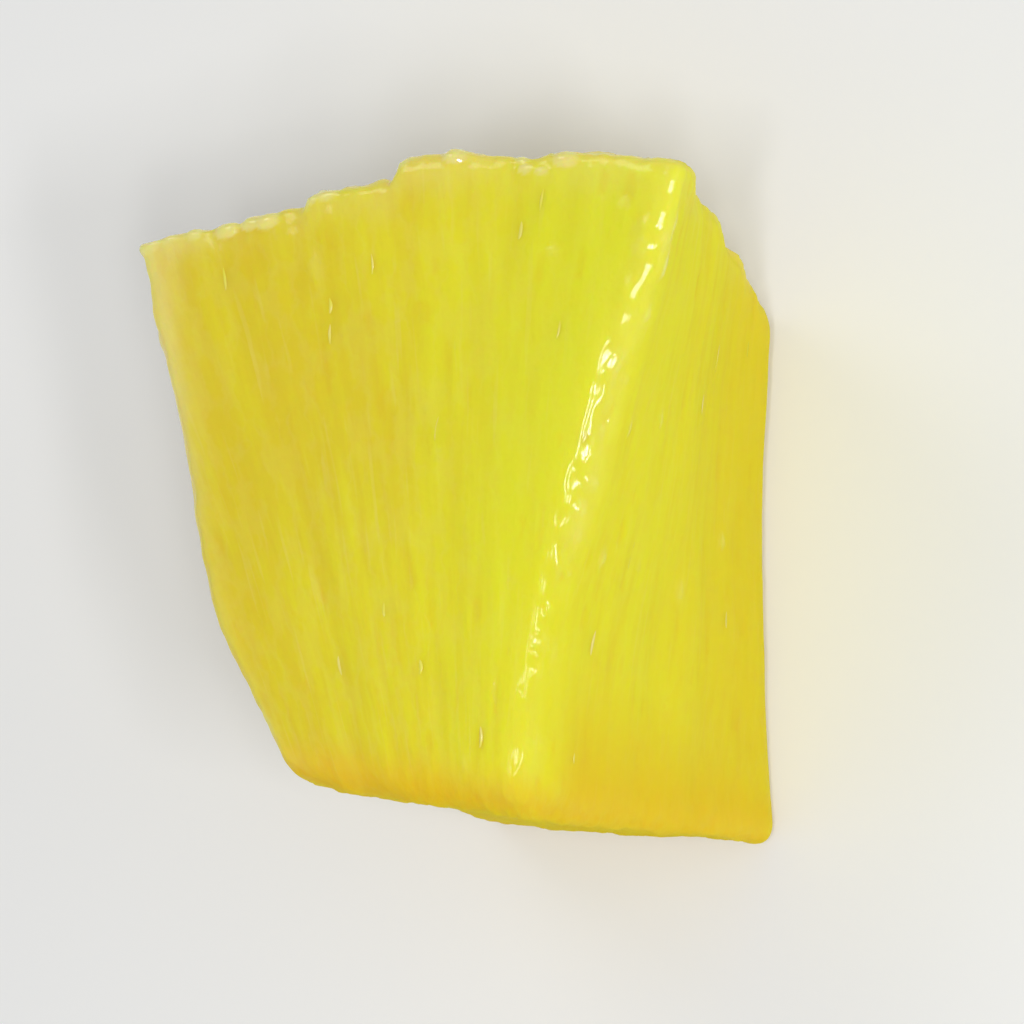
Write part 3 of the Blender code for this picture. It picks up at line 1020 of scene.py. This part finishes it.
class PINEAPPLE_OT_fibres(bpy.types.Operator):
    """Lays loose fibres on the cuts"""

    bl_idname = "pineapple.fibres"
    bl_label = "Build Torn Fibres"

    def execute(self, context):
        sizes = context.scene.flesh_sizes
        points, quads, u, _ = flesh_surface(sizes)
        normals = vertex_normals(points, quads)
        random = np.random.default_rng(SEED + 30)
        quarter = sizes.fibre_count // 4
        drawn = [scattered(random, parts * quarter, *ends) for parts, ends in FIBRE_PLACES.values()]
        wanted = np.concatenate(drawn)
        count = len(wanted)
        reach = random.uniform(*FIBRE_REACHES, count)[:, None] * np.array([0.0, 1.0, 0.0])
        first, last = nearest_place(u, wanted), nearest_place(u, wanted + reach)
        thickness = sizes.fibre_thickness * random.uniform(*FIBRE_THICKNESSES, count)
        bow = random.uniform(-FIBRE_BOW, FIBRE_BOW, count) * MM
        shape = loose_fibres(points[first], points[last], normals[first], thickness, bow)
        piece = new_mesh("torn_fibres", *shape)
        weld(piece)
        finished(piece, fibre_material(context.scene.flesh_colours))
        return {"FINISHED"}


def area_light(name, direction, distance, size, power, colour, aim):
    """A rectangular light that looks at aim from a direction and a distance."""
    data = bpy.data.lights.new(name, "AREA")
    data.shape, data.size, data.size_y = "RECTANGLE", size[0], size[1]
    data.energy, data.color = power, colour
    light = bpy.data.objects.new(name, data)
    way = Vector(direction).normalized()
    turned = way.to_track_quat("Z", "Y").to_matrix().to_4x4()
    light.matrix_world = Matrix.Translation(aim + way * distance) @ turned
    bpy.context.scene.collection.objects.link(light)


def mirrored(direction, lean):
    """Where the upper right edge mirrors a direction to, as 2(n.d)n - d.

    n is the edge's normal at a lean from upright, turned clockwise from +X by EDGE_TURN as the edge is.
    """
    across = math.sin(lean)
    normal = Vector((across * math.cos(EDGE_TURN), -across * math.sin(EDGE_TURN), math.cos(lean)))
    return 2 * normal.dot(direction) * normal - direction


def lay_floor(stage, height):
    """A square floor at the chunk's foot."""
    x, y = stage.floor_size / 2 * np.array([[-1, 1, 1, -1], [-1, -1, 1, 1]])
    floor = new_mesh("floor", np.stack([x, y, np.full(4, height)], axis=1), np.array([[0, 1, 2, 3]]))
    floor.data.materials.append(floor_material(stage.floor_colour))


def set_lights(stage, direction, aim):
    """Three soft lights, a window of panes that glint on the upper right edge, and an even sky."""
    for name, (way, side, colour) in SOFT_LIGHTS.items():
        area_light(name, way, SOFT_DISTANCE, (side, side), getattr(stage, f"{name}_power"), colour, aim)
    power = stage.window_power / len(PANE_LEANS)
    for pane, lean in enumerate(PANE_LEANS):
        way = mirrored(direction, lean)
        area_light(f"pane_{pane}", way, PANE_DISTANCE, PANE_SIZE, power, PANE_COLOUR, aim)
    world = bpy.data.worlds.new("studio")
    world.use_nodes = True
    feed(world.node_tree.nodes["Background"], {"Color": SKY_COLOUR, "Strength": stage.sky})
    bpy.context.scene.world = world


def set_camera(stage, direction, aim):
    """A camera that looks against direction at aim, with +Y up in the picture but for a small roll."""
    data = bpy.data.cameras.new("camera")
    data.lens, data.sensor_width = stage.lens, SENSOR_WIDTH
    data.clip_start, data.clip_end = CLIP_START, CLIP_END
    camera = bpy.data.objects.new("camera", data)
    distance = stage.view_width * stage.lens / SENSOR_WIDTH
    right = Vector((0, 1, 0)).cross(direction).normalized()
    facing = Matrix((right, direction.cross(right), direction)).transposed()
    turned = (facing @ Matrix.Rotation(VIEW_ROLL, 3, "Z")).to_4x4()
    camera.matrix_world = Matrix.Translation(aim + direction * distance) @ turned
    bpy.context.scene.collection.objects.link(camera)
    bpy.context.scene.camera = camera


class PINEAPPLE_OT_stage(bpy.types.Operator):
    """Sets the floor, the lights and the camera"""

    bl_idname = "pineapple.stage"
    bl_label = "Build Stage"

    def execute(self, context):
        stage = context.scene.stage_settings
        low, high = (Vector(corner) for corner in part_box(SOLID))
        aim = (low + high) / 2
        direction = Vector(VIEW_DIRECTION).normalized()
        lay_floor(stage, low.z)
        set_lights(stage, direction, aim)
        set_camera(stage, direction, aim)
        context.scene.view_settings.view_transform = "Standard"
        return {"FINISHED"}


class PINEAPPLE_PT_panel(bpy.types.Panel):
    """Lists the pieces and the stage"""

    bl_idname = "PINEAPPLE_PT_panel"
    bl_label = "Pineapple Chunk"
    bl_space_type = "VIEW_3D"
    bl_region_type = "UI"
    bl_category = "Pineapple"

    def draw(self, context):
        layout = self.layout
        for name, group in SETTINGS.items():
            box = layout.box()
            for setting in group.__annotations__:
                box.prop(getattr(context.scene, name), setting)
        for operator in OPERATORS:
            layout.operator(operator.bl_idname)


SETTINGS = {"flesh_sizes": FleshSizes, "flesh_colours": FleshColours, "stage_settings": StageSettings}
OPERATORS = (PINEAPPLE_OT_flesh, PINEAPPLE_OT_fibres, PINEAPPLE_OT_stage)


def register():
    for name, group in SETTINGS.items():
        bpy.utils.register_class(group)
        setattr(bpy.types.Scene, name, bpy.props.PointerProperty(type=group))
    for operator in OPERATORS:
        bpy.utils.register_class(operator)
    bpy.utils.register_class(PINEAPPLE_PT_panel)


def unregister():
    bpy.utils.unregister_class(PINEAPPLE_PT_panel)
    for operator in reversed(OPERATORS):
        bpy.utils.unregister_class(operator)
    for name, group in SETTINGS.items():
        delattr(bpy.types.Scene, name)
        bpy.utils.unregister_class(group)


def main():
    register()
    bpy.ops.pineapple.flesh()
    bpy.ops.pineapple.fibres()
    bpy.ops.pineapple.stage()


if __name__ == "__main__":
    main()
